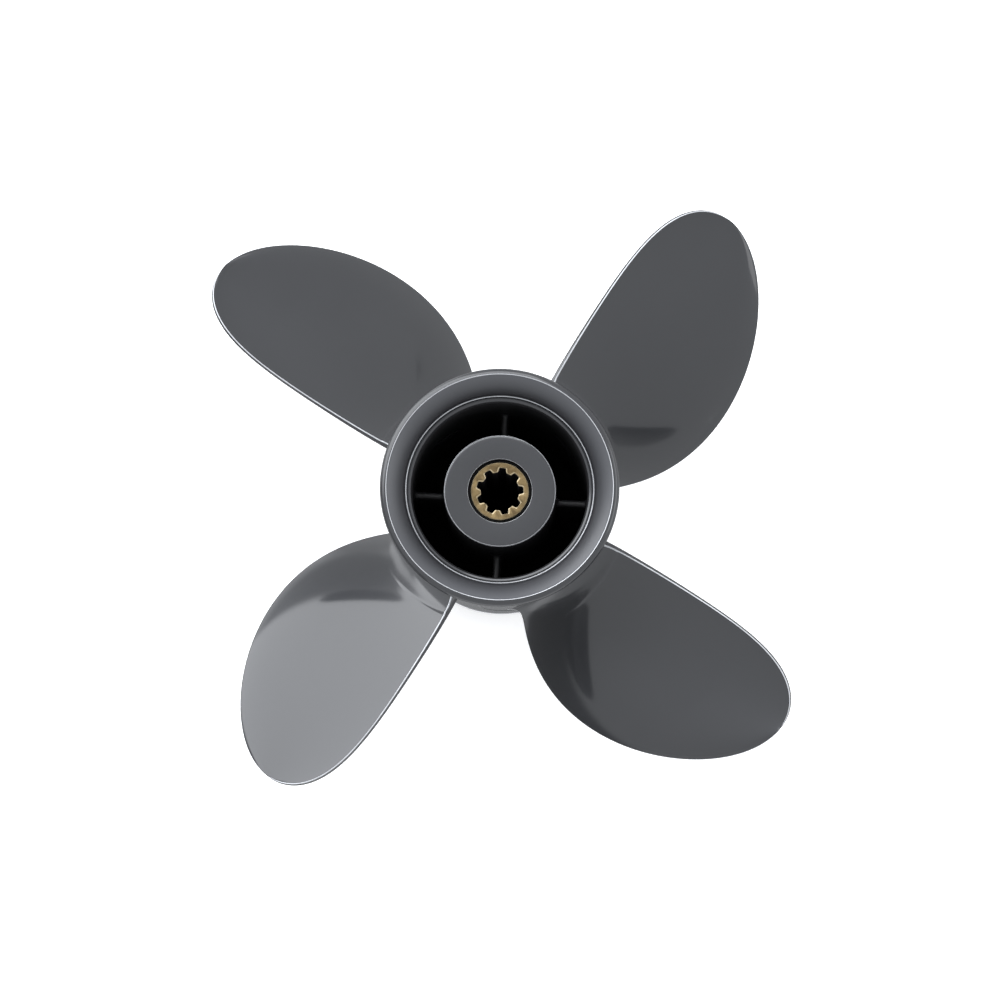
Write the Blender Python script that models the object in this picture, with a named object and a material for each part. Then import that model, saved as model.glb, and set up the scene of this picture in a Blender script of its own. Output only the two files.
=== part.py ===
# Four-blade outboard motor propeller with a through-hub exhaust.
# Metres, +Z up. The shaft axis is the Z axis, the aft end with its flared ring is up,
# and the origin is the centre of the forward end, on which the propeller stands.

import math

import bmesh
import bpy

# Overall sizes
DIAMETER = 0.235
HEIGHT = 0.0865
GAP = 0.0003

# Barrel, the outer wall of the hub
BARREL_RADIUS = 0.0327
BARREL_BORE = 0.0277
BARREL_BOTTOM = 0.0080
BARREL_EDGE = 0.0004

# Flared ring at the aft end
FLARE_HEIGHT = 0.0150
RING_RADIUS = 0.0383
RIM_RADIUS = 0.0013
RIM_INNER_RADIUS = 0.0365
RIM_DROP = 0.0004
STEP_RADIUS = 0.0297
STEP_BELOW_RIM = 0.0074
STEP_DEPTH = 0.0009
LIP_RADIUS = 0.0293
LIP_DROP = 0.0003

# Forward collar
COLLAR_RADIUS = 0.0320
COLLAR_BORE = 0.0269
COLLAR_ROUNDING = 0.0026

# Inner hub and its stepped bore
INNER_HUB_RADIUS = 0.0181
INNER_HUB_TOP = 0.0754
INNER_HUB_BOTTOM = 0.0030
INNER_HUB_ROUNDING = 0.0008
LIP_BORE = 0.0103
LIP_THICKNESS = 0.0070
BUSHING_BORE = 0.0150

# Rubber bushing and splined sleeve
BUSHING_TOP = 0.0740
SLEEVE_RADIUS = 0.0093
SLEEVE_TOP = 0.0746
SLEEVE_BOTTOM = 0.0010
SPLINE_COUNT = 9
SPLINE_MAJOR = 0.00765
SPLINE_MINOR = 0.0062
SPLINE_ANGLE = 3.4
GROOVE_FLOOR = 0.20
GROOVE_MOUTH = 0.32

# Ribs between the inner hub and the barrel
RIB_COUNT = 4
RIB_ANGLE = 47.0
RIB_THICKNESS = 0.0024
RIB_TOP = 0.0520
RIB_BOTTOM = 0.0090

# Blades: even stations from root to tip, each with the skew in degrees towards the
# trailing edge, half the width across, the height of the middle of the section, the
# pitch, and how far the section is hollow and how far its trailing edge is cupped
BLADE_COUNT = 4
BLADE_STATIONS = (
    (0.0, 0.0154, 0.0408, 0.254, -0.0030, -0.0014),
    (-0.3, 0.0265, 0.0435, 0.268, 0.0006, -0.0030),
    (4.5, 0.0321, 0.0506, 0.271, 0.0015, -0.0046),
    (10.3, 0.0345, 0.0586, 0.262, -0.0009, -0.0062),
)
SKEW, HALF_WIDTH, MIDDLE, PITCH, HOLLOW, CUP = range(6)
TIP_FULLNESS = 2.73
LAST_SECTION = 0.9995
ROOT_THICKNESS = 0.0076
TIP_THICKNESS = 0.0026
EDGE_THICKNESS = 0.0016
EDGE_ROUNDING = 0.0005
THIN_FROM = 0.7
FILLET_RADIUS = 0.0030
SPAN_STEPS = 15
WIDTH_STEPS = 12

ROUND_SEGMENTS = 64
FLARE_STEPS = 8
FACET_DEPTH = 0.0001


def clear_scene():
    """Remove every object that the file starts with."""
    for item in list(bpy.data.objects):
        bpy.data.objects.remove(item, do_unlink=True)


def material(name, colour, roughness, metallic):
    """A plain Principled material."""
    made = bpy.data.materials.new(name)
    made.use_nodes = True
    shader = made.node_tree.nodes["Principled BSDF"]
    shader.inputs["Base Color"].default_value = (*colour, 1.0)
    shader.inputs["Roughness"].default_value = roughness
    shader.inputs["Metallic"].default_value = metallic
    return made


def paint(name):
    return material(name + "_paint", (0.075, 0.080, 0.088), 0.32, 0.35)


def add_object(name, mesh_data, finish, crease=35.0):
    """Link a bmesh to the scene as one named object."""
    bmesh.ops.recalc_face_normals(mesh_data, faces=mesh_data.faces)
    mesh = bpy.data.meshes.new(name)
    mesh_data.to_mesh(mesh)
    mesh_data.free()
    mesh.materials.append(finish)
    mesh.shade_smooth()
    mesh.set_sharp_from_angle(angle=math.radians(crease))
    made = bpy.data.objects.new(name, mesh)
    bpy.context.scene.collection.objects.link(made)
    return made


def arc(centre_r, centre_z, radius, start, end, steps):
    """Points (r, z) of an arc, angles in degrees from the outward direction."""
    points = []
    for i in range(steps + 1):
        angle = math.radians(start + (end - start) * i / steps)
        points.append((centre_r + radius * math.cos(angle),
                       centre_z + radius * math.sin(angle)))
    return points


def turned(name, profile, finish, segments=ROUND_SEGMENTS):
    """Turn a closed profile of (r, z) points around the shaft axis."""
    bm = bmesh.new()
    rings = []
    for radius, height in profile:
        ring = []
        for k in range(segments):
            angle = 2 * math.pi * k / segments
            ring.append(bm.verts.new((radius * math.cos(angle), radius * math.sin(angle), height)))
        rings.append(ring)
    for ring, after in zip(rings, rings[1:] + rings[:1]):
        for k in range(segments):
            n = (k + 1) % segments
            bm.faces.new((ring[k], ring[n], after[n], after[k]))
    return add_object(name, bm, finish)


def outer_hub():
    top = HEIGHT - FLARE_HEIGHT - GAP
    profile = [
        (BARREL_RADIUS, top),
        (BARREL_RADIUS, BARREL_BOTTOM + BARREL_EDGE),
        (BARREL_RADIUS - BARREL_EDGE, BARREL_BOTTOM),
        (BARREL_BORE, BARREL_BOTTOM),
        (BARREL_BORE, top),
    ]
    turned("outer_hub", profile, paint("outer_hub"))


def flared_ring():
    """The ring's outer face swells in an S to its rounded rim, and its inner face is a cone."""
    bottom = HEIGHT - FLARE_HEIGHT
    rise = FLARE_HEIGHT - RIM_RADIUS
    outer = []
    for i in range(FLARE_STEPS):
        share = i / FLARE_STEPS
        swell = share * share * (3 - 2 * share)
        outer.append((BARREL_RADIUS + (RING_RADIUS - BARREL_RADIUS) * swell, bottom + rise * share))
    rim = arc(RING_RADIUS - RIM_RADIUS, HEIGHT - RIM_RADIUS, RIM_RADIUS, 0, 90, 4)
    step = HEIGHT - STEP_BELOW_RIM
    inner = [
        (RIM_INNER_RADIUS, HEIGHT - RIM_DROP),
        (STEP_RADIUS, step),
        (LIP_RADIUS, step - STEP_DEPTH),
        (BARREL_BORE, step - STEP_DEPTH - LIP_DROP),
        (BARREL_BORE, bottom),
    ]
    turned("flared_ring", outer + rim + inner, paint("flared_ring"))


def forward_collar():
    top = BARREL_BOTTOM - GAP
    rounding = arc(COLLAR_RADIUS - COLLAR_ROUNDING, COLLAR_ROUNDING, COLLAR_ROUNDING, 0, -90, 5)
    profile = [(COLLAR_RADIUS, top)] + rounding + [(COLLAR_BORE, 0.0), (COLLAR_BORE, top)]
    turned("forward_collar", profile, paint("forward_collar"))


def inner_hub():
    """A thick tube whose bore narrows to a lip at the aft end."""
    rounding = arc(INNER_HUB_RADIUS - INNER_HUB_ROUNDING, INNER_HUB_TOP - INNER_HUB_ROUNDING,
                   INNER_HUB_ROUNDING, 90, 0, 3)
    lip_bottom = INNER_HUB_TOP - LIP_THICKNESS
    profile = rounding + [
        (INNER_HUB_RADIUS, INNER_HUB_BOTTOM),
        (BUSHING_BORE, INNER_HUB_BOTTOM),
        (BUSHING_BORE, lip_bottom),
        (LIP_BORE, lip_bottom),
        (LIP_BORE, INNER_HUB_TOP),
    ]
    turned("inner_hub", profile, paint("inner_hub"))


def rubber_bushing():
    """The rubber fills the bore between the inner hub and the sleeve."""
    rubber = material("black_rubber", (0.012, 0.012, 0.013), 0.75, 0.0)
    shoulder = INNER_HUB_TOP - LIP_THICKNESS - GAP
    profile = [
        (LIP_BORE - GAP, BUSHING_TOP),
        (LIP_BORE - GAP, shoulder),
        (BUSHING_BORE - GAP, shoulder),
        (BUSHING_BORE - GAP, INNER_HUB_BOTTOM),
        (SLEEVE_RADIUS + GAP, INNER_HUB_BOTTOM),
        (SLEEVE_RADIUS + GAP, BUSHING_TOP),
    ]
    turned("rubber_bushing", profile, rubber)


def spline_outline():
    """Radius and angle round the bore: grooves for the shaft's teeth with sloping flanks."""
    points = []
    pitch = 2 * math.pi / SPLINE_COUNT
    for k in range(SPLINE_COUNT):
        middle = math.radians(SPLINE_ANGLE) + pitch * k
        for offset, radius in ((-GROOVE_MOUTH, SPLINE_MINOR), (-GROOVE_FLOOR, SPLINE_MAJOR),
                               (0.0, SPLINE_MAJOR), (GROOVE_FLOOR, SPLINE_MAJOR),
                               (GROOVE_MOUTH, SPLINE_MINOR), (0.5, SPLINE_MINOR)):
            points.append((radius, middle + offset * pitch))
    return points


def splined_sleeve():
    brass = material("brass", (0.42, 0.31, 0.16), 0.35, 0.9)
    bm = bmesh.new()
    outline = spline_outline()
    loops = []
    for height in (SLEEVE_BOTTOM, SLEEVE_TOP):
        inner = [bm.verts.new((r * math.cos(a), r * math.sin(a), height)) for r, a in outline]
        outer = [bm.verts.new((SLEEVE_RADIUS * math.cos(a), SLEEVE_RADIUS * math.sin(a), height))
                 for _, a in outline]
        loops.append((inner, outer))
    (inner_low, outer_low), (inner_high, outer_high) = loops
    count = len(outline)
    for k in range(count):
        n = (k + 1) % count
        bm.faces.new((outer_low[k], outer_low[n], outer_high[n], outer_high[k]))
        bm.faces.new((inner_low[k], inner_high[k], inner_high[n], inner_low[n]))
        bm.faces.new((inner_high[k], outer_high[k], outer_high[n], inner_high[n]))
        bm.faces.new((inner_low[k], inner_low[n], outer_low[n], outer_low[k]))
    add_object("splined_sleeve", bm, brass)


def rib(index):
    """A flat web that carries the inner hub, with its ends round to both walls."""
    bm = bmesh.new()
    inner_radius = INNER_HUB_RADIUS + GAP
    outer_radius = BARREL_BORE - GAP - FACET_DEPTH
    half = RIB_THICKNESS / 2
    turn = math.radians(RIB_ANGLE + 360.0 / RIB_COUNT * index)
    ends = ((inner_radius, -half), (outer_radius, -half), (outer_radius, half), (inner_radius, half))
    corners = []
    for height in (RIB_BOTTOM, RIB_TOP):
        for x, y in ends:
            along = math.sqrt(x * x - y * y)
            corners.append(bm.verts.new((along * math.cos(turn) - y * math.sin(turn),
                                         along * math.sin(turn) + y * math.cos(turn), height)))
    low, high = corners[:4], corners[4:]
    bm.faces.new(low[::-1])
    bm.faces.new(high)
    for k in range(4):
        n = (k + 1) % 4
        bm.faces.new((low[k], low[n], high[n], high[k]))
    add_object("rib_%d" % (index + 1), bm, paint("rib_%d" % (index + 1)))


def at_station(share, column):
    """The smooth curve through one column of the blade stations."""
    last = len(BLADE_STATIONS) - 1
    total = 0.0
    for i, station in enumerate(BLADE_STATIONS):
        weight = 1.0
        for j in range(len(BLADE_STATIONS)):
            if i != j:
                weight *= (share * last - j) / (i - j)
        total += weight * station[column]
    return total


def fillet_growth(radius):
    """How much the root fillet adds to each side of the section."""
    height = radius - BARREL_RADIUS
    if height >= FILLET_RADIUS:
        return 0.0
    return FILLET_RADIUS - math.sqrt(FILLET_RADIUS ** 2 - (FILLET_RADIUS - height) ** 2)


def blade_section(share, radius):
    """Points (angle, height) along the aft face, the middle and the forward face of one
    section, from the leading edge to the trailing edge, on a cylinder of this radius."""
    taper = math.sqrt(1.0 - share ** TIP_FULLNESS)
    half_width = at_station(share, HALF_WIDTH) * taper
    hollow = at_station(share, HOLLOW) * taper
    cup = at_station(share, CUP) * taper
    slope = at_station(share, PITCH) / (2 * math.pi * radius)
    along = 1 / math.hypot(1, slope)
    across = slope * along
    thickest = ROOT_THICKNESS + (TIP_THICKNESS - ROOT_THICKNESS) * min(1.0, share / THIN_FROM)
    growth = fillet_growth(radius)
    skew = math.radians(at_station(share, SKEW))
    rows = ([], [], [])
    for i in range(WIDTH_STEPS + 1):
        u = -math.cos(math.pi * i / WIDTH_STEPS)
        belly = 1 - u * u
        half = 0.5 * (EDGE_THICKNESS + (thickest - EDGE_THICKNESS) * belly) + growth
        for side, row in zip((1, 0, -1), rows):
            width = half_width - abs(side) * EDGE_ROUNDING
            reach = (width + growth * along) * u
            height = at_station(share, MIDDLE) + slope * reach + (hollow + cup * u) * belly
            row.append((skew + (reach - side * half * across) / radius, height + side * half * along))
    return rows


def blade(index):
    """A twisted, raked blade built up from sections on cylinders round the shaft."""
    bm = bmesh.new()
    turn = 2 * math.pi / BLADE_COUNT * index
    tip = DIAMETER / 2
    first_section = GAP / (tip - BARREL_RADIUS)
    loops = []
    middles = []
    for i in range(SPAN_STEPS + 1):
        share = first_section + (LAST_SECTION - first_section) * math.sin(math.pi / 2 * i / SPAN_STEPS)
        radius = BARREL_RADIUS + (tip - BARREL_RADIUS) * share
        is_end = i in (0, SPAN_STEPS)
        rows = []
        for row in blade_section(share, radius):
            rows.append([(radius * math.cos(angle + turn), radius * math.sin(angle + turn), height)
                         for angle, height in row])
        aft, middle, forward = rows
        aft = [bm.verts.new(point) for point in aft]
        forward = [bm.verts.new(point) for point in forward]
        inside = middle[1:-1] if is_end else []
        middle = [bm.verts.new(point) for point in [middle[0]] + inside + [middle[-1]]]
        loops.append(aft + [middle[-1]] + forward[::-1] + [middle[0]])
        if is_end:
            middles.append((aft, middle, forward))
    count = len(loops[0])
    for inner, outer in zip(loops, loops[1:]):
        for k in range(count):
            n = (k + 1) % count
            bm.faces.new((inner[k], inner[n], outer[n], outer[k]))
    for aft, middle, forward in middles:
        for first, second in ((aft, middle), (middle, forward)):
            for k in range(WIDTH_STEPS):
                bm.faces.new((first[k], first[k + 1], second[k + 1], second[k]))
    add_object("blade_%d" % (index + 1), bm, paint("blade_%d" % (index + 1)))


def main():
    clear_scene()
    outer_hub()
    flared_ring()
    forward_collar()
    inner_hub()
    rubber_bushing()
    splined_sleeve()
    for index in range(RIB_COUNT):
        rib(index)
    for index in range(BLADE_COUNT):
        blade(index)


main()
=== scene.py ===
import math

import bmesh
import bpy
from mathutils import Matrix, Vector


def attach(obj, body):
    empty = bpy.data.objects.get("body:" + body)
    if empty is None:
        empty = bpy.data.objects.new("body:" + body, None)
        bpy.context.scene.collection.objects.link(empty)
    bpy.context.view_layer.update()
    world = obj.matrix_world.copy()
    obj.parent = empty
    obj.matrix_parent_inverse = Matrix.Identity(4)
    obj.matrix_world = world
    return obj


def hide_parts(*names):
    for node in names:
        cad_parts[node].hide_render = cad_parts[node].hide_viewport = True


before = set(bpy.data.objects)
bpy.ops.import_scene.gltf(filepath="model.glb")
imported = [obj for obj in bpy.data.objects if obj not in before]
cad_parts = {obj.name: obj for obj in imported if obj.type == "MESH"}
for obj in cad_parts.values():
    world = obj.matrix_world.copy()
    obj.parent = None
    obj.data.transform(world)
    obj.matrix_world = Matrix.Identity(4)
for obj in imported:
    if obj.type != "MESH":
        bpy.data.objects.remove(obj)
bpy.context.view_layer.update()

# Hub sizes in metres. They are those of the CAD part, but for the bore of the barrel and the
# two radii of the rim, which follow the photograph more closely
DIAMETER = 0.235
HEIGHT = 0.0865
BARREL_RADIUS = 0.0327
BARREL_BORE = 0.0282
BARREL_BOTTOM = 0.0080
FLARE_HEIGHT = 0.0150
RING_RADIUS = 0.0383
RIM_RADIUS = 0.0020
RIM_INNER_RADIUS = 0.0362
STEP_RADIUS = 0.0297
STEP = HEIGHT - 0.0074
COLLAR_RADIUS = 0.0320
COLLAR_BORE = 0.0269
COLLAR_ROUNDING = 0.0026
INNER_HUB_RADIUS = 0.0181
INNER_HUB_TOP = 0.0754
INNER_HUB_BOTTOM = 0.0030
INNER_HUB_ROUNDING = 0.0008
LIP_BORE = 0.0103
LIP_THICKNESS = 0.0070
BUSHING_BORE = 0.0150
BUSHING_TOP = 0.0740

# The curved bell inside the ring, and the step below it as corners of radius, depth below
# the step and rounding
BELL_FOOT = STEP_RADIUS + 0.0006
BELL_GAP = 0.0002
BELL_CURVE = 1.6
STEP_CORNERS = (
    (STEP_RADIUS + 0.0003, 0.0, 0.0001),
    (STEP_RADIUS, 0.0009, 0.0001),
    (0.0293, 0.0013, 0.0001),
    (0.0287, 0.0015, 0.0003),
    (BARREL_BORE, 0.0025, 0.0003),
)

# A faint raised band round the forward end of the barrel
BAND_RADIUS = BARREL_RADIUS + 0.00012
BAND_HEIGHT = 0.0007
BAND_END = 0.0009

# Brass sleeve: the grooves' floor and mouth are shares of the pitch to either side
SLEEVE_RADIUS = 0.0093
SLEEVE_TOP = 0.0746
SLEEVE_BOTTOM = 0.0010
SLEEVE_CHAMFER = 0.00025
SPLINE_COUNT = 9
SPLINE_MAJOR = 0.00765
SPLINE_MINOR = 0.0062
SPLINE_ROUNDING = 0.0005
SPLINE_ANGLE = 3.4
GROOVE_FLOOR = 0.20
GROOVE_MOUTH = 0.32

# Ribs
RIB_ANGLE = 47.0
RIB_THICKNESS = 0.0024
RIB_TOP = 0.0520
RIB_BOTTOM = 0.0090
RIB_FILLET = 0.0015
RIB_ROUNDING = 0.0012
RIB_SEAT = 0.0001

# Blades: even stations from root to tip, each with the skew in degrees towards the
# trailing edge, half the width across, the height of the middle of the section, the
# pitch, and how far the section is hollow and how far its trailing edge is cupped
BLADE_COUNT = 4
BLADE_STATIONS = (
    (0.0, 0.0154, 0.0408, 0.254, -0.0030, -0.0014),
    (-0.3, 0.0265, 0.0435, 0.268, 0.0006, -0.0030),
    (4.5, 0.0321, 0.0506, 0.271, 0.0015, -0.0046),
    (10.3, 0.0345, 0.0586, 0.262, -0.0009, -0.0062),
)
SKEW, HALF_WIDTH, MIDDLE, PITCH, HOLLOW, CUP = range(6)
TIP_FULLNESS = 2.73
LAST_SECTION = 0.9995
OUTLINE_STEP = 0.002
ROOT_THICKNESS = 0.0076
TIP_THICKNESS = 0.0026
EDGE_THICKNESS = 0.0016
THIN_FROM = 0.7

# Rounded edges of a section: the corner's radius, its limits as shares of half the width and
# of the thickness, and the shares of the root fillets that it takes up
EDGE_CORNER = 0.00042
WIDEST_CORNER = 0.55
DEEPEST_CORNER = 0.8
CORNER_GROWTH = 0.45
LEADING_INSET = 0.5
TRAILING_INSET = 0.3

# Root fillets: how far each one spreads over the barrel and how far it climbs the blade
AFT_CLIMB = 0.0080
AFT_CLIMB_LEADING = 0.0060
AFT_SPREAD = 0.0042
FORWARD_SPREAD = 0.0016
FORWARD_CLIMB = 0.0026
LEADING_SPREAD = 0.0034
LEADING_CLIMB = 0.0026
TRAILING_SPREAD = 0.0014
TRAILING_CLIMB = 0.0020
SEAT_DEPTH = 0.0002

# A thin raised pad round the root, where it starts and fades in as shares of half the width
PAD_CLIMB = 0.0101
PAD_BLEND = 0.0011
PAD_RISE = 0.00020
PAD_START = -0.3
PAD_FADE = 0.5

# Parting line of the mould: its route on the barrel in degrees and metres, and its section
PARTING_ROUTE = (
    (27.0, 0.0570), (31.0, 0.0560), (34.0, 0.0520), (36.0, 0.0400),
    (37.8, 0.0270), (39.0, 0.0205), (45.0, 0.0186), (58.0, 0.0180),
)
PARTING_HALF_WIDTH = 0.0007
PARTING_RISE = 0.00006
PARTING_GROWTH = 0.00012
PARTING_SINK = 0.00001

# Finish: where painted shade darkens the passage, the thin painted highlight lines on the hub
# casting as ranges of radius and height, and the blade's edge faces that get painted highlight,
# counted from outside
PAINTED_SHADE_RADIUS = 0.0286
PAINTED_SHADE_BOTTOM = 0.0004
PAINTED_SHADE_TOP = STEP - 0.0016
HIGHLIGHT_LINES = (
    (RIM_INNER_RADIUS - 0.0003, RIM_INNER_RADIUS + 0.0002, HEIGHT - 0.0003, HEIGHT),
    (STEP_RADIUS + 0.0002, STEP_RADIUS + 0.0007, STEP - 0.0001, STEP + 0.0003),
    (BARREL_RADIUS, RING_RADIUS, BARREL_BOTTOM + 0.0006, BARREL_BOTTOM + 0.00095),
)
HIGHLIGHT_FACES = range(1, 4)

# Tolerance where faces are picked by their place
HAIR = 0.00001

# How finely round forms are divided
ROUND_SEGMENTS = 256
BUSHING_SEGMENTS = 192
FLARE_STEPS = 32
RIM_STEPS = 24
BELL_STEPS = 24
RIB_STEPS = 8
CORNER_STEPS = 6
WIDTH_STEPS = 44
ROOT_ROWS = 52
ROOT_CROWDING = 1.2
TIP_ROWS = 56
LINE_STEPS = 8

# Camera: the angle and the scale of the photograph's upper view
CAMERA_AZIMUTH = -36.1
CAMERA_ELEVATION = 83.0
CAMERA_ROLL = -3.7
CAMERA_DISTANCE = 1.916
CAMERA_TARGET = Vector((0.0, 0.0, 0.050))
PIXELS_PER_METRE = 3074.0
FRAME_PIXELS = 1001.0
SENSOR = 36.0

# Stage
FLOOR_HALF_SIZE = 6.0
FLOOR_HEIGHT = -0.0002
# Painted shade: a dark disc on the floor under the passage
SHADE_MAT_RADIUS = 0.0294
SHADE_MAT_HEIGHT = -0.0001

# Panels of light in the studio: azimuth from the camera, elevation, roll, half the width,
# half the height and softness of the edges in degrees, and how much brighter they are. The
# hole is a share taken out of the bright panel
BRIGHT_PANEL = (-148, 37, 31, 40, 29.7, 2, 3.8)
BRIGHT_PANEL_HOLE = (-182, 22, 0, 12, 7, 4, 0.95)
PATCHES = (
    (-152, -11, -34, 15, 6, 4, 1.8),
    (-75, -6, 0, 28, 15, 3, -0.95),
    (-174, -3, 0, 16, 13, 6, -0.4),
    (-5, -27, 0, 50, 10, 5, 0.6),
)

# The studio's even glow, how much darker it gets towards the ground and between which heights
# of the direction, and its darkest level
STUDIO_GLOW = 1.15
LOW_GLOW = -0.8
LOW_FROM, LOW_TO = -0.4, -0.85
DARKEST_GLOW = 0.1

# Softbox to the right of the camera
LAMP_AZIMUTH = 92.0
LAMP_ELEVATION = 27.0
LAMP_DISTANCE = 1.5
LAMP_WIDTH = 1.1
LAMP_HEIGHT = 0.7
LAMP_RADIANCE = 2.0


def polar(radius, angle, z):
    return (radius * math.cos(angle), radius * math.sin(angle), z)


def spin(points, angle):
    """The points turned round the shaft axis."""
    c, s = math.cos(angle), math.sin(angle)
    return [(x * c - y * s, x * s + y * c, z) for x, y, z in points]


def smooth(share):
    share = max(0.0, min(1.0, share))
    return share * share * (3 - 2 * share)


def skin(name, rows, closed=True, tube=False, cap=False, crease=None):
    """A mesh from rows of points, each row joined to the next one.

    A closed row runs round, and a tube's last row is joined to its first one.
    """
    bm = bmesh.new()
    made = [[bm.verts.new(point) for point in row] for row in rows]
    count = len(made[0])
    for row, after in zip(made, made[1:] + (made[:1] if tube else [])):
        for k in range(count if closed else count - 1):
            n = (k + 1) % count
            bm.faces.new((row[k], row[n], after[n], after[k]))
    if cap:
        bm.faces.new(made[0][::-1])
        bm.faces.new(made[-1])
    return to_object(name, bm, crease)


def to_object(name, bm, crease=None):
    bmesh.ops.recalc_face_normals(bm, faces=bm.faces)
    mesh = bpy.data.meshes.new(name)
    bm.to_mesh(mesh)
    bm.free()
    mesh.shade_smooth()
    if crease is not None:
        mesh.set_sharp_from_angle(angle=math.radians(crease))
    made = bpy.data.objects.new(name, mesh)
    bpy.context.scene.collection.objects.link(made)
    return made


def rounded(corners, steps=6):
    """A closed profile of (r, z) points with each corner (r, z, radius) rounded off."""
    points = []
    count = len(corners)
    for i, (r, z, radius) in enumerate(corners):
        here = Vector((r, z))
        if radius <= 0:
            points.append(here)
            continue
        before = Vector(corners[i - 1][:2]) - here
        after = Vector(corners[(i + 1) % count][:2]) - here
        half = before.angle(after) / 2
        reach = min(radius / math.tan(half), 0.49 * before.length, 0.49 * after.length)
        inward = (before.normalized() + after.normalized()).normalized()
        centre = here + inward * reach / math.cos(half)
        start = here + before.normalized() * reach - centre
        end = here + after.normalized() * reach - centre
        turn = start.angle_signed(end)
        for k in range(steps + 1):
            points.append(centre + Matrix.Rotation(-turn * k / steps, 2) @ start)
    return points


def turned(name, profile, segments=ROUND_SEGMENTS):
    """Turn a closed profile of (r, z) points around the shaft axis."""
    angles = [2 * math.pi * k / segments for k in range(segments)]
    rows = [[polar(r, angle, z) for angle in angles] for r, z in profile]
    return skin(name, rows, tube=True)


def flare_and_rim():
    """The ring's outside from the barrel up, and round to the top of the rim."""
    points = []
    for i in range(FLARE_STEPS + 1):
        share = i / FLARE_STEPS
        points.append(Vector((BARREL_RADIUS + (RING_RADIUS - BARREL_RADIUS) * smooth(share),
                              HEIGHT - FLARE_HEIGHT + (FLARE_HEIGHT - RIM_RADIUS) * share)))
    for k in range(1, RIM_STEPS + 1):
        angle = math.pi / 2 * k / RIM_STEPS
        points.append(Vector((RING_RADIUS - RIM_RADIUS + RIM_RADIUS * math.cos(angle),
                              HEIGHT - RIM_RADIUS + RIM_RADIUS * math.sin(angle))))
    return points


def bell():
    """The inside of the ring, curved outwards from the step to the rim."""
    points = []
    for i in range(BELL_STEPS + 1):
        share = 1 - i / BELL_STEPS
        points.append(Vector((BELL_FOOT + (RIM_INNER_RADIUS - BELL_FOOT) * share ** BELL_CURVE,
                              STEP + BELL_GAP + (HEIGHT - STEP - 2 * BELL_GAP) * share)))
    return points


def hub_casting():
    """Barrel, flared ring and forward collar in one turned profile, with every edge rounded."""
    bell_points = bell()
    inside = rounded(
        [(*bell_points[-1], 0.0)]
        + [(radius, STEP - depth, rounding) for radius, depth, rounding in STEP_CORNERS]
        + [(BARREL_BORE, BARREL_BOTTOM, 0.0),
           (COLLAR_BORE, 0.0, 0.0004),
           (COLLAR_RADIUS, 0.0, COLLAR_ROUNDING),
           (COLLAR_RADIUS, BARREL_BOTTOM - 0.0002, 0.0)], steps=8)
    barrel = rounded([
        (COLLAR_RADIUS, 0.0, 0.0),
        (COLLAR_RADIUS, BARREL_BOTTOM, 0.0001),
        (BAND_RADIUS, BARREL_BOTTOM, 0.00025),
        (BAND_RADIUS, BARREL_BOTTOM + BAND_HEIGHT, 0.0003),
        (BARREL_RADIUS, BARREL_BOTTOM + BAND_END, 0.0003),
        (BARREL_RADIUS, HEIGHT - FLARE_HEIGHT - 0.0004, 0.0),
    ])
    return turned("hub_casting", flare_and_rim() + bell_points[:-1] + inside + barrel[1:])


def inner_hub():
    shoulder = INNER_HUB_TOP - LIP_THICKNESS
    return turned("inner_hub_casting", rounded([
        (INNER_HUB_RADIUS, INNER_HUB_TOP, INNER_HUB_ROUNDING),
        (INNER_HUB_RADIUS, INNER_HUB_BOTTOM, 0.0006),
        (BUSHING_BORE, INNER_HUB_BOTTOM, 0.0003),
        (BUSHING_BORE, shoulder, 0.0004),
        (LIP_BORE, shoulder, 0.0004),
        (LIP_BORE, INNER_HUB_TOP, 0.00025),
    ]))


def rubber_bushing():
    shoulder = INNER_HUB_TOP - LIP_THICKNESS
    return turned("bonded_rubber", rounded([
        (LIP_BORE, BUSHING_TOP, 0.0005),
        (LIP_BORE, shoulder, 0.0002),
        (BUSHING_BORE, shoulder, 0.0004),
        (BUSHING_BORE, INNER_HUB_BOTTOM, 0.0008),
        (SLEEVE_RADIUS, INNER_HUB_BOTTOM, 0.0006),
        (SLEEVE_RADIUS, BUSHING_TOP, 0.0005),
    ]), BUSHING_SEGMENTS)


def spline_outline(inset=0.0):
    """The bore's outline in the XY plane, with the corners of grooves and teeth rounded."""
    pitch = 2 * math.pi / SPLINE_COUNT
    major, minor = SPLINE_MAJOR + inset, SPLINE_MINOR + inset
    spread = inset / (minor * pitch)
    floor, mouth = GROOVE_FLOOR + spread, GROOVE_MOUTH + spread
    corners = []
    for k in range(SPLINE_COUNT):
        middle = math.radians(SPLINE_ANGLE) + pitch * k
        for offset, radius in ((-mouth, minor), (-floor, major), (floor, major), (mouth, minor)):
            corners.append(polar(radius, middle + offset * pitch, SPLINE_ROUNDING))
    return rounded(corners, steps=5)


def splined_sleeve():
    """The brass sleeve, with chamfers round its mouth and along its outer edge."""
    bore, mouth = spline_outline(), spline_outline(SLEEVE_CHAMFER)
    angles = [math.atan2(point.y, point.x) for point in bore]

    def ring(radius, z):
        return [polar(radius, angle, z) for angle in angles]

    def around(points, z):
        return [(point.x, point.y, z) for point in points]

    return skin("brass_sleeve", [
        around(bore, SLEEVE_BOTTOM),
        around(bore, SLEEVE_TOP - SLEEVE_CHAMFER),
        around(mouth, SLEEVE_TOP),
        ring(SLEEVE_RADIUS - SLEEVE_CHAMFER, SLEEVE_TOP),
        ring(SLEEVE_RADIUS, SLEEVE_TOP - SLEEVE_CHAMFER),
        ring(SLEEVE_RADIUS, SLEEVE_BOTTOM),
    ], tube=True, crease=38.0)


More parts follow.
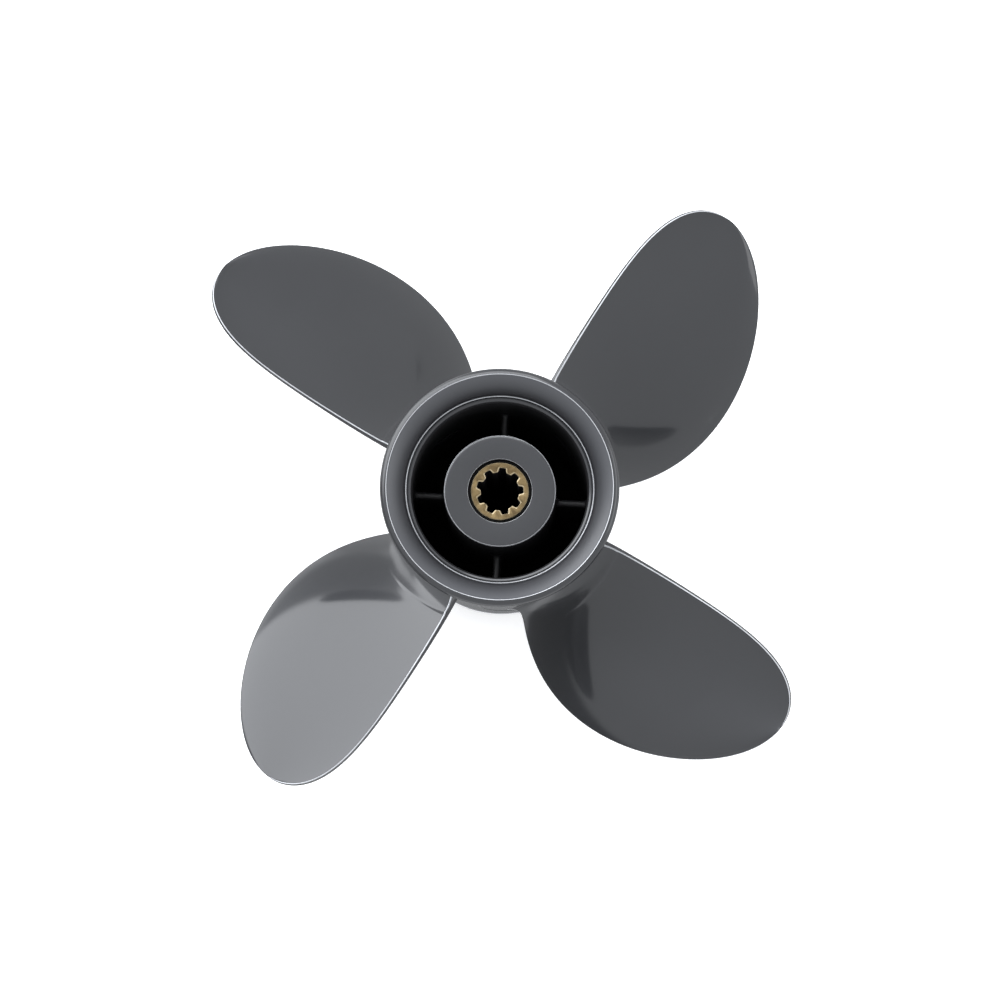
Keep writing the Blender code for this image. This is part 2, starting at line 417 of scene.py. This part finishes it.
def rib(index):
    """A web with fillets that run out along both walls of the exhaust passage."""
    inner, outer = INNER_HUB_RADIUS - RIB_SEAT, BARREL_BORE + RIB_SEAT
    steps = []
    for k in range(RIB_STEPS + 1):
        angle = math.pi / 2 * k / RIB_STEPS
        steps.append((RIB_FILLET * (1 - math.cos(angle)), RIB_FILLET * (1 - math.sin(angle))))
    reaches = [(inner + away, growth) for away, growth in steps]
    reaches += [(outer - away, growth) for away, growth in reversed(steps)]
    rows = []
    for reach, growth in reaches:
        half = RIB_THICKNESS / 2 + growth
        low, high = RIB_BOTTOM - growth, RIB_TOP + growth
        section = rounded([(side, z, RIB_ROUNDING) for side, z in
                           ((-half, low), (half, low), (half, high), (-half, high))])
        rows.append(spin([(reach, y, z) for y, z in section],
                         math.radians(RIB_ANGLE + 90.0 * index)))
    return skin("rib_casting_%d" % (index + 1), rows, cap=True)


def at_station(share, column):
    """The smooth curve through one column of the blade stations."""
    last = len(BLADE_STATIONS) - 1
    total = 0.0
    for i, station in enumerate(BLADE_STATIONS):
        weight = 1.0
        for j in range(len(BLADE_STATIONS)):
            if i != j:
                weight *= (share * last - j) / (i - j)
        total += weight * station[column]
    return total


def half_width_at(share):
    return at_station(share, HALF_WIDTH) * math.sqrt(max(1.0 - share ** TIP_FULLNESS, 0.0))


def fillet(height, spread, climb):
    """How far an elliptic fillet stands out at this height above the barrel."""
    if height >= climb:
        return 0.0
    left = 1 - max(height, 0.0) / climb
    return spread * (1 - math.sqrt(1 - left * left))


class Section:
    """One section of the blade, wrapped round a cylinder of this radius."""

    def __init__(self, radius):
        span = DIAMETER / 2 - BARREL_RADIUS
        self.radius = radius
        self.climb = radius - BARREL_RADIUS
        share = max(0.0, self.climb / span)
        taper = math.sqrt(1.0 - share ** TIP_FULLNESS)
        self.half_width = half_width_at(share)
        self.hollow = at_station(share, HOLLOW) * taper
        self.cup = at_station(share, CUP) * taper
        self.slope = at_station(share, PITCH) / (2 * math.pi * radius)
        self.skew = math.radians(at_station(share, SKEW))
        self.middle = at_station(share, MIDDLE)
        thinning = min(1.0, share / THIN_FROM)
        self.thickest = ROOT_THICKNESS + (TIP_THICKNESS - ROOT_THICKNESS) * thinning
        before = half_width_at(max(share - OUTLINE_STEP, 0.0))
        change = (self.half_width - before) / (OUTLINE_STEP * span)
        self.inset = min(EDGE_CORNER * math.hypot(1, min(0.0, change)),
                         WIDEST_CORNER * self.half_width)

    def place(self, reach, side, lift):
        """Angle and height at a reach along the middle line and a lift to one side of it."""
        u = max(-1.0, min(1.0, reach / self.half_width))
        belly = 1 - u * u
        bend = self.hollow + self.cup * u
        tilt = (self.cup * belly - 2 * u * bend) / self.half_width
        height = self.middle + self.slope * reach + bend * belly
        height += tilt * (reach - u * self.half_width)
        tangent = self.slope + tilt
        out = side * lift / math.hypot(1, tangent)
        return polar(self.radius, self.skew + (reach - out * tangent) / self.radius, height + out)

    def half_thickness(self, reach):
        u = max(-1.0, min(1.0, reach / self.half_width))
        return 0.5 * (EDGE_THICKNESS + (self.thickest - EDGE_THICKNESS) * (1 - u * u))

    def aft_growth(self, reach):
        """The raised pad round the root, and a large fillet from it down to the barrel."""
        u = reach / self.half_width
        top = AFT_CLIMB_LEADING + (AFT_CLIMB - AFT_CLIMB_LEADING) * smooth(1 + u)
        pad = PAD_RISE * smooth((u - PAD_START) / PAD_FADE)
        pad *= smooth((PAD_CLIMB - self.climb) / PAD_BLEND)
        return pad + fillet(self.climb, AFT_SPREAD * top / AFT_CLIMB, top)

    def forward_growth(self, reach):
        return fillet(self.climb, FORWARD_SPREAD, FORWARD_CLIMB)

    def corner(self, edge, inner, side, growth):
        """Points of a rounded corner, from the blade's edge towards its side."""
        lift = self.half_thickness(inner) + growth(inner)
        drop = min(EDGE_CORNER + CORNER_GROWTH * growth(inner), DEEPEST_CORNER * lift)
        points = []
        for k in range(CORNER_STEPS):
            angle = math.pi / 2 * k / CORNER_STEPS
            points.append(self.place(edge + (inner - edge) * (1 - math.cos(angle)), side,
                                     lift - drop * (1 - math.sin(angle))))
        return points

    def loop(self):
        """Points along the aft side to the trailing edge and back along the forward side."""
        leading = fillet(self.climb, LEADING_SPREAD, LEADING_CLIMB)
        trailing = fillet(self.climb, TRAILING_SPREAD, TRAILING_CLIMB)
        start, end = -self.half_width - leading, self.half_width + trailing
        low = start + self.inset + LEADING_INSET * leading
        high = end - self.inset - TRAILING_INSET * trailing
        sides = []
        for side, growth in ((1, self.aft_growth), (-1, self.forward_growth)):
            row = self.corner(start, low, side, growth)
            for k in range(WIDTH_STEPS + 1):
                reach = low + (high - low) * (1 - math.cos(math.pi * k / WIDTH_STEPS)) / 2
                row.append(self.place(reach, side, self.half_thickness(reach) + growth(reach)))
            row += self.corner(end, high, side, growth)[::-1]
            sides.append(row)
        return sides[0] + sides[1][::-1]


def blade(index, enamel, painted_highlight):
    """A twisted, raked blade whose root fillets run out along the barrel."""
    length = DIAMETER / 2 - BARREL_RADIUS
    radii = [BARREL_RADIUS - SEAT_DEPTH]
    for k in range(ROOT_ROWS + 1):
        radii.append(BARREL_RADIUS + PAD_CLIMB * (k / ROOT_ROWS) ** ROOT_CROWDING)
    first = math.asin(PAD_CLIMB / length / LAST_SECTION)
    for k in range(1, TIP_ROWS + 1):
        angle = first + (math.pi / 2 - first) * k / TIP_ROWS
        radii.append(BARREL_RADIUS + length * LAST_SECTION * math.sin(angle))
    rows = [spin(Section(radius).loop(), math.pi / 2 * index) for radius in radii]
    made = skin("blade_casting_%d" % (index + 1), rows, cap=True)
    made.data.materials.append(enamel)
    made.data.materials.append(painted_highlight)
    around = len(rows[0])
    last_of_aft = around // 2 - 2
    # Painted highlight: the faces next to the blade's edges get the bright edge paint
    for number, face in enumerate(made.data.polygons):
        place = number % around
        if number < around * (len(rows) - 1) and min(place, last_of_aft - place) in HIGHLIGHT_FACES:
            face.material_index = 1
    return made


def cut_corners(route):
    """The route with each corner cut off, from the same start to the same end."""
    finer = [route[0]]
    for (a, z), (b, y) in zip(route, route[1:]):
        finer.append((0.75 * a + 0.25 * b, 0.75 * z + 0.25 * y))
        finer.append((0.25 * a + 0.75 * b, 0.25 * z + 0.75 * y))
    return finer + [route[-1]]


def parting_line(index):
    """A faint ridge on the barrel from one blade's trailing edge to the next one's leading edge."""
    route = list(PARTING_ROUTE)
    for _ in range(3):
        route = cut_corners(route)
    flat = [Vector((math.radians(a) * BARREL_RADIUS, z)) for a, z in route]
    last = len(flat) - 1
    rows = []
    for i, here in enumerate(flat):
        along = (flat[min(i + 1, last)] - flat[max(i - 1, 0)]).normalized()
        rise = PARTING_RISE + PARTING_GROWTH * (i / last) ** 2
        row = []
        for k in range(LINE_STEPS + 1):
            v = 2 * k / LINE_STEPS - 1
            away = PARTING_HALF_WIDTH * v
            angle = (here.x - along.y * away) / BARREL_RADIUS + math.pi / 2 * index
            radius = BARREL_RADIUS + rise * (1 - v * v) ** 2 - PARTING_SINK
            row.append(polar(radius, angle, here.y + along.x * away))
        rows.append(row)
    return skin("parting_line_%d" % (index + 1), rows, closed=False)


def grey(value):
    return (value, value, value)


def new_material(name, settings):
    """A material with the shader's sockets that are the same all over, and its node tree."""
    made = bpy.data.materials.new(name)
    made.use_nodes = True
    shader = made.node_tree.nodes["Principled BSDF"]
    for socket, value in settings.items():
        shader.inputs[socket].default_value = value
    return made, made.node_tree


def noise(tree, scale, detail=3.0, roughness=0.5):
    coords = tree.nodes.new("ShaderNodeTexCoord")
    made = tree.nodes.new("ShaderNodeTexNoise")
    made.inputs["Scale"].default_value = scale
    made.inputs["Detail"].default_value = detail
    made.inputs["Roughness"].default_value = roughness
    tree.links.new(coords.outputs["Object"], made.inputs["Vector"])
    return made.outputs["Fac"]


def vary(tree, socket, source, start, low, end, high):
    """Run a socket of the shader from the low to the high colour as the source grows."""
    made = tree.nodes.new("ShaderNodeValToRGB")
    first, last = made.color_ramp.elements[0], made.color_ramp.elements[1]
    first.position, last.position = start, end
    first.color, last.color = (*low, 1.0), (*high, 1.0)
    tree.links.new(source, made.inputs["Fac"])
    tree.links.new(made.outputs["Color"], tree.nodes["Principled BSDF"].inputs[socket])


def bump(tree, source, strength, distance):
    made = tree.nodes.new("ShaderNodeBump")
    made.inputs["Strength"].default_value = strength
    made.inputs["Distance"].default_value = distance
    tree.links.new(source, made.inputs["Height"])
    tree.links.new(made.outputs["Normal"], tree.nodes["Principled BSDF"].inputs["Normal"])


def paint_material():
    """Dark grey enamel with fine metal flake under a smooth clear coat."""
    made, tree = new_material("grey_enamel", {
        "Metallic": 0.6, "Specular IOR Level": 0.25,
        "Coat Weight": 1.0, "Coat Roughness": 0.10, "Coat IOR": 1.5})
    clouds = noise(tree, 22.0)
    vary(tree, "Base Color", clouds, 0.0, (0.020, 0.021, 0.024), 1.0, (0.026, 0.027, 0.030))
    vary(tree, "Roughness", clouds, 0.0, grey(0.46), 1.0, grey(0.52))
    return made


def bell_shade_material():
    """The enamel inside the ring, with painted shade: darker towards the step."""
    made, tree = new_material("bell_enamel_painted_shade", {"Roughness": 0.36, "IOR": 1.5})
    coords = tree.nodes.new("ShaderNodeTexCoord")
    split = tree.nodes.new("ShaderNodeSeparateXYZ")
    tree.links.new(coords.outputs["Object"], split.inputs["Vector"])
    height = tree.nodes.new("ShaderNodeMapRange")
    height.inputs["From Min"].default_value = STEP
    height.inputs["From Max"].default_value = HEIGHT
    tree.links.new(split.outputs["Z"], height.inputs["Value"])
    vary(tree, "Base Color", height.outputs["Result"],
         0.0, (0.006, 0.006, 0.007), 1.0, (0.064, 0.066, 0.073))
    return made


def edge_highlight_material():
    """Painted highlight: a thin bright line along an edge, lighter paint that stands in for the
    light it catches.
    """
    made, tree = new_material("painted_highlight_edge", {"Metallic": 0.5})
    highlight_variation = noise(tree, 140.0, detail=4.0)
    vary(tree, "Base Color", highlight_variation, 0.2, (0.38, 0.39, 0.41), 0.8, (0.54, 0.55, 0.57))
    vary(tree, "Roughness", highlight_variation, 0.2, grey(0.30), 0.8, grey(0.42))
    return made


def passage_shade_material():
    """Painted shade: near-black paint that stands in for the shade inside the exhaust passage."""
    made, tree = new_material("passage_painted_shade", {})
    painted_shade = noise(tree, 60.0)
    vary(tree, "Base Color", painted_shade, 0.3, (0.004, 0.004, 0.005), 0.7, (0.008, 0.008, 0.009))
    vary(tree, "Roughness", painted_shade, 0.3, grey(0.45), 0.7, grey(0.6))
    return made


def brass_material(name, darker, lighter):
    """Brass with a mottled tone and fine marks of machining."""
    made, tree = new_material(name, {"Metallic": 0.6})
    mottle = noise(tree, 420.0, detail=4.0, roughness=0.6)
    vary(tree, "Base Color", mottle, 0.3, darker, 0.75, lighter)
    vary(tree, "Roughness", mottle, 0.3, grey(0.36), 0.7, grey(0.5))
    bump(tree, noise(tree, 2400.0, detail=2.0), 0.12, 0.0001)
    return made


def rubber_material():
    made, tree = new_material("black_rubber_finish", {
        "Roughness": 0.85, "Specular IOR Level": 0.12})
    bloom = noise(tree, 300.0)
    vary(tree, "Base Color", bloom, 0.3, grey(0.002), 0.7, grey(0.004))
    bump(tree, bloom, 0.1, 0.0002)
    return made


def floor_material():
    """A pale floor that glows faintly, like a light table."""
    made, tree = new_material("pale_floor", {
        "Roughness": 0.9, "Specular IOR Level": 0.1,
        "Emission Color": (1.0, 1.0, 1.0, 1.0), "Emission Strength": 0.45})
    vary(tree, "Base Color", noise(tree, 3.0), 0.3, grey(0.93), 0.7, grey(0.95))
    return made


def dress(piece, finish, slot, *nodes):
    """Give the piece its finish, let it stand for CAD nodes and ride on the body."""
    if finish is not None:
        piece.data.materials.append(finish)
    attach(piece, "root")
    if nodes:
        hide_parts(*nodes)


def give_faces(piece, finish, is_there):
    """Give another finish to the faces that a test on (radius, height, outward) picks."""
    piece.data.materials.append(finish)
    index = len(piece.data.materials) - 1
    for face in piece.data.polygons:
        x, y, z = face.center
        radius = math.hypot(x, y)
        outward = (face.normal.x * x + face.normal.y * y) / radius
        if is_there(radius, z, outward):
            face.material_index = index


# Painted highlight: picks the faces of the thin bright lines on the hub casting
def on_highlight_line(r, z, out):
    return any(r_from < r < r_to and z_from < z < z_to for r_from, r_to, z_from, z_to in HIGHLIGHT_LINES)


def build_object():
    enamel, painted_shade, painted_highlight = paint_material(), passage_shade_material(), edge_highlight_material()
    hub = hub_casting()
    dress(hub, enamel, "casting_paint", "outer_hub", "flared_ring", "forward_collar")
    # Painted shade: the bore of the barrel gets near-black paint for the shade inside it
    give_faces(hub, painted_shade, lambda r, z, out: r < PAINTED_SHADE_RADIUS and PAINTED_SHADE_BOTTOM < z < PAINTED_SHADE_TOP)
    # Painted shade: the inside of the ring darkens towards the step
    give_faces(hub, bell_shade_material(), lambda r, z, out: out < 0 and z > STEP + BELL_GAP)
    # Painted highlight: bright lines on the rim, the step and the band of the barrel
    give_faces(hub, painted_highlight, on_highlight_line)

    inner = inner_hub()
    top_edge = INNER_HUB_TOP - INNER_HUB_ROUNDING
    dress(inner, enamel, "casting_paint", "inner_hub")
    # Painted shade: the inner hub below its top edge gets near-black paint
    give_faces(inner, painted_shade, lambda r, z, out: z < top_edge)
    # Painted highlight: a bright line round the top edge of the inner hub
    give_faces(inner, painted_highlight, lambda r, z, out: z > top_edge and 0.5 < abs(out) < 0.8)

    for index in range(BLADE_COUNT):
        # Painted shade: each rib is near-black paint for the shade deep in the passage
        dress(rib(index), painted_shade, "casting_paint", "rib_%d" % (index + 1))
        dress(blade(index, enamel, painted_highlight), None, "casting_paint", "blade_%d" % (index + 1))
        dress(parting_line(index), enamel, "casting_paint")

    dress(rubber_bushing(), rubber_material(), "rubber", "rubber_bushing")
    sleeve = splined_sleeve()
    brass = brass_material("machined_brass", (0.085, 0.056, 0.021), (0.20, 0.142, 0.062))
    # Painted highlight: a much lighter copy of the brass on the chamfers, for the bright lines they
    # catch
    chamfer_highlight = brass_material("brass_chamfer_painted_highlight", (0.30, 0.24, 0.14), (0.46, 0.38, 0.25))
    dress(sleeve, brass, "brass", "splined_sleeve")
    give_faces(sleeve, chamfer_highlight,
               lambda r, z, out: HAIR < SLEEVE_TOP - z < SLEEVE_CHAMFER - HAIR)
    # Painted shade: near-black paint down the splined bore
    give_faces(sleeve, painted_shade,
               lambda r, z, out: r < SPLINE_MAJOR + HAIR and SLEEVE_TOP - z > SLEEVE_CHAMFER)


def build_floor():
    """The floor, and a dark mat of painted shade that keeps the floor from showing through the
    exhaust passage.
    """
    bm = bmesh.new()
    size = FLOOR_HALF_SIZE
    bm.faces.new([bm.verts.new((x, y, FLOOR_HEIGHT)) for x, y in
                  ((-size, -size), (size, -size), (size, size), (-size, size))])
    floor = to_object("floor", bm)
    floor.data.materials.append(floor_material())
    floor.visible_glossy = False
    floor.visible_shadow = False
    bm = bmesh.new()
    bmesh.ops.create_circle(bm, cap_ends=True, segments=96, radius=SHADE_MAT_RADIUS)
    bmesh.ops.translate(bm, verts=bm.verts, vec=(0, 0, SHADE_MAT_HEIGHT))
    shade_mat = to_object("painted_shade_mat", bm)
    # Painted shade: the mat takes the black rubber finish
    shade_mat.data.materials.append(rubber_material())


def direction(azimuth, elevation):
    a, e = math.radians(azimuth), math.radians(elevation)
    return Vector((math.sin(a) * math.cos(e), -math.cos(a) * math.cos(e), math.sin(e)))


def across(back, roll):
    """The directions to the right and up of a view along the back direction, rolled in degrees."""
    right = Vector((0, 0, 1)).cross(back).normalized()
    up = back.cross(right)
    c, s = math.cos(math.radians(roll)), math.sin(math.radians(roll))
    return c * right + s * up, c * up - s * right


def build_camera():
    data = bpy.data.cameras.new("camera")
    data.sensor_width = SENSOR
    data.lens = PIXELS_PER_METRE * CAMERA_DISTANCE / FRAME_PIXELS * SENSOR
    data.clip_start = 0.05
    data.clip_end = 50.0
    camera = bpy.data.objects.new("camera", data)
    back = direction(CAMERA_AZIMUTH, CAMERA_ELEVATION)
    right, up = across(back, CAMERA_ROLL)
    turn = Matrix((right, up, back)).transposed().to_4x4()
    camera.matrix_world = Matrix.Translation(CAMERA_TARGET + back * CAMERA_DISTANCE) @ turn
    bpy.context.scene.collection.objects.link(camera)
    bpy.context.scene.camera = camera


def maths(tree, operation, first, second):
    """One step of arithmetic on two sockets or numbers."""
    made = tree.nodes.new("ShaderNodeMath")
    made.operation = operation
    for slot, value in zip(made.inputs, (first, second)):
        if isinstance(value, float):
            slot.default_value = value
        else:
            tree.links.new(value, slot)
    return made.outputs[0]


def along_axis(tree, axis):
    """How far the looked-up direction points along an axis."""
    coords = tree.nodes.new("ShaderNodeTexCoord")
    dot = tree.nodes.new("ShaderNodeVectorMath")
    dot.operation = "DOT_PRODUCT"
    dot.inputs[1].default_value = axis
    tree.links.new(coords.outputs["Generated"], dot.inputs[0])
    return dot.outputs["Value"]


def fade(tree, value, inside, outside):
    """1 up to the inside value, fading out smoothly to 0 at the outside value."""
    made = tree.nodes.new("ShaderNodeMapRange")
    made.interpolation_type = "SMOOTHSTEP"
    made.inputs["From Min"].default_value = inside
    made.inputs["From Max"].default_value = outside
    made.inputs["To Min"].default_value = 1.0
    made.inputs["To Max"].default_value = 0.0
    tree.links.new(value, made.inputs["Value"])
    return made.outputs["Result"]


def panel(tree, azimuth, elevation, roll, half_width, half_height, soft, gain):
    """A rectangle of the studio with soft edges, sizes in degrees, as bright as the gain."""
    aim = direction(CAMERA_AZIMUTH + azimuth, elevation)
    side, up = across(aim, -roll)
    ahead = maths(tree, "MAXIMUM", along_axis(tree, aim), 0.05)
    total = gain
    for axis, half in ((side, half_width), (up, half_height)):
        offset = maths(tree, "DIVIDE", along_axis(tree, axis), ahead)
        offset = maths(tree, "ABSOLUTE", offset, 0.0)
        inside, outside = math.tan(math.radians(half - soft)), math.tan(math.radians(half + soft))
        total = maths(tree, "MULTIPLY", fade(tree, offset, inside, outside), total)
    return total


def studio_glow(tree):
    """How bright the studio is in each direction."""
    hole = panel(tree, *BRIGHT_PANEL_HOLE)
    glow = maths(tree, "MULTIPLY", panel(tree, *BRIGHT_PANEL), maths(tree, "SUBTRACT", 1.0, hole))
    glow = maths(tree, "ADD", glow, STUDIO_GLOW)
    for patch in PATCHES:
        glow = maths(tree, "ADD", glow, panel(tree, *patch))
    low = fade(tree, along_axis(tree, (0, 0, 1)), LOW_TO, LOW_FROM)
    glow = maths(tree, "ADD", glow, maths(tree, "MULTIPLY", low, LOW_GLOW))
    return maths(tree, "MAXIMUM", glow, DARKEST_GLOW)


def build_studio():
    """A world that lights the object with soft panels and is white behind it."""
    world = bpy.data.worlds.new("studio")
    world.use_nodes = True
    tree = world.node_tree
    background = tree.nodes["Background"]
    background.inputs["Color"].default_value = (0.96, 0.98, 1.01, 1.0)
    tree.links.new(studio_glow(tree), background.inputs["Strength"])
    seen = tree.nodes.new("ShaderNodeBackground")
    seen.inputs["Color"].default_value = (1.0, 1.0, 1.0, 1.0)
    mix = tree.nodes.new("ShaderNodeMixShader")
    path = tree.nodes.new("ShaderNodeLightPath")
    tree.links.new(path.outputs["Is Camera Ray"], mix.inputs["Fac"])
    tree.links.new(background.outputs["Background"], mix.inputs[1])
    tree.links.new(seen.outputs["Background"], mix.inputs[2])
    tree.links.new(mix.outputs["Shader"], tree.nodes["World Output"].inputs["Surface"])
    bpy.context.scene.world = world
    bpy.context.scene.view_settings.view_transform = "Standard"


def build_softbox():
    """An area light that faces the propeller, as bright as the radiance says."""
    data = bpy.data.lights.new("right", "AREA")
    data.shape = "RECTANGLE"
    data.size = LAMP_WIDTH
    data.size_y = LAMP_HEIGHT
    data.color = (0.97, 0.985, 1.0)
    data.energy = LAMP_RADIANCE * math.pi * LAMP_WIDTH * LAMP_HEIGHT
    lamp = bpy.data.objects.new("right", data)
    aim = direction(CAMERA_AZIMUTH + LAMP_AZIMUTH, LAMP_ELEVATION)
    lamp.location = CAMERA_TARGET + aim * LAMP_DISTANCE
    lamp.rotation_euler = aim.to_track_quat("Z", "Y").to_euler()
    lamp.visible_camera = False
    bpy.context.scene.collection.objects.link(lamp)


build_object()
build_floor()
build_camera()
build_studio()
build_softbox()
